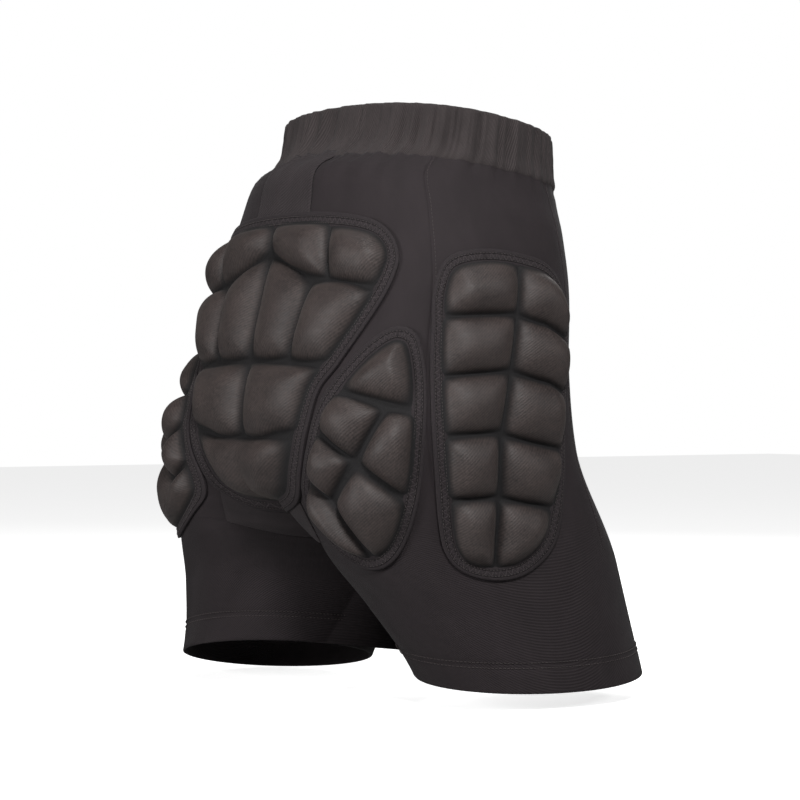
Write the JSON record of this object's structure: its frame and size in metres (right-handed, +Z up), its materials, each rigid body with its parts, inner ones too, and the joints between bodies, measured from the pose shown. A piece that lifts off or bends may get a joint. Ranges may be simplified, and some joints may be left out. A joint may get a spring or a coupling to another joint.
{
  "type": "padded impact shorts",
  "caption": "Stretch shorts with a gathered elastic waistband and quilted foam impact pads over the tailbone, buttocks and hips, standing open as worn.",
  "frame": {"origin": "centre of the waist opening at the top edge of the waistband, with the shorts standing open as worn", "axes": "+Z up towards the waist, front of the shorts towards -Y, wearer's right towards -X"},
  "size_m": [0.3947, 0.3087, 0.4697],
  "materials": {
    "waistband_knit": "gathered rib knit, matte",
    "elastic": "woven elastic",
    "body_knit": "fine stretch knit, slight sheen",
    "leg_knit": "fine cross-rib stretch knit",
    "rib_insert": "diagonal rib knit",
    "binding_tape": "flat coverstitched tape",
    "base_cloth": "plain knit",
    "pad_face": "satin stretch fabric laminated on moulded foam"
  },
  "bodies": {
    "seat_and_pads": {"centre_back_panel": "rib_insert", "left_buttock_block_low_inner": "pad_face", "left_buttock_block_lower": "pad_face", "left_buttock_block_mid_inner": "pad_face", "left_buttock_block_mid_outer": "pad_face", "left_buttock_block_rim": "pad_face", "left_buttock_block_upper": "pad_face", "left_buttock_pad_base": "base_cloth", "left_buttock_pad_binding": "binding_tape", "left_front_panel": "body_knit", "left_hip_foam_front_column": "pad_face", "left_hip_foam_rear_column": "pad_face", "left_hip_pad_base": "base_cloth", "left_hip_pad_binding": "binding_tape", "left_seat_panel": "body_knit", "left_side_panel": "body_knit", "left_thigh_stretch": "leg_knit", "left_thigh_yoke": "leg_knit", "right_buttock_block_low_inner": "pad_face", "right_buttock_block_lower": "pad_face", "right_buttock_block_mid_inner": "pad_face", "right_buttock_block_mid_outer": "pad_face", "right_buttock_block_rim": "pad_face", "right_buttock_block_upper": "pad_face", "right_buttock_pad_base": "base_cloth", "right_buttock_pad_binding": "binding_tape", "right_front_panel": "body_knit", "right_hip_foam_front_column": "pad_face", "right_hip_foam_rear_column": "pad_face", "right_hip_pad_base": "base_cloth", "right_hip_pad_binding": "binding_tape", "right_seat_panel": "body_knit", "right_side_panel": "body_knit", "right_thigh_stretch": "leg_knit", "right_thigh_yoke": "leg_knit", "tailbone_block_low_left": "pad_face", "tailbone_block_low_right": "pad_face", "tailbone_block_mid_inner_left": "pad_face", "tailbone_block_mid_inner_right": "pad_face", "tailbone_block_mid_outer_left": "pad_face", "tailbone_block_mid_outer_right": "pad_face", "tailbone_block_tip": "pad_face", "tailbone_block_top_inner_left": "pad_face", "tailbone_block_top_inner_right": "pad_face", "tailbone_block_top_outer_left": "pad_face", "tailbone_block_top_outer_right": "pad_face", "tailbone_pad_base": "base_cloth", "tailbone_pad_binding": "binding_tape", "waistband_cover": "waistband_knit", "waistband_elastic": "elastic", "waistband_lining": "waistband_knit"},
    "right_leg": {"right_leg_sleeve": "leg_knit", "right_leg_hem": "leg_knit"},
    "left_leg": {"left_leg_sleeve": "leg_knit", "left_leg_hem": "leg_knit"}
  },
  "joints": [
    {"name": "right_leg_swing", "type": "hinge", "parent": "seat_and_pads", "child": "right_leg", "pos_m": [0, -0.02, -0.33], "axis": [-1, 0, 0], "range_deg": [-12, 12], "stiffness_Nm_per_rad": 0.6, "deforming": ["right_thigh_stretch"]},
    {"name": "left_leg_swing", "type": "hinge", "parent": "seat_and_pads", "child": "left_leg", "pos_m": [0, 0.03, -0.33], "axis": [-1, 0, 0], "range_deg": [-12, 12], "stiffness_Nm_per_rad": 0.6, "deforming": ["left_thigh_stretch"]}
  ]
}
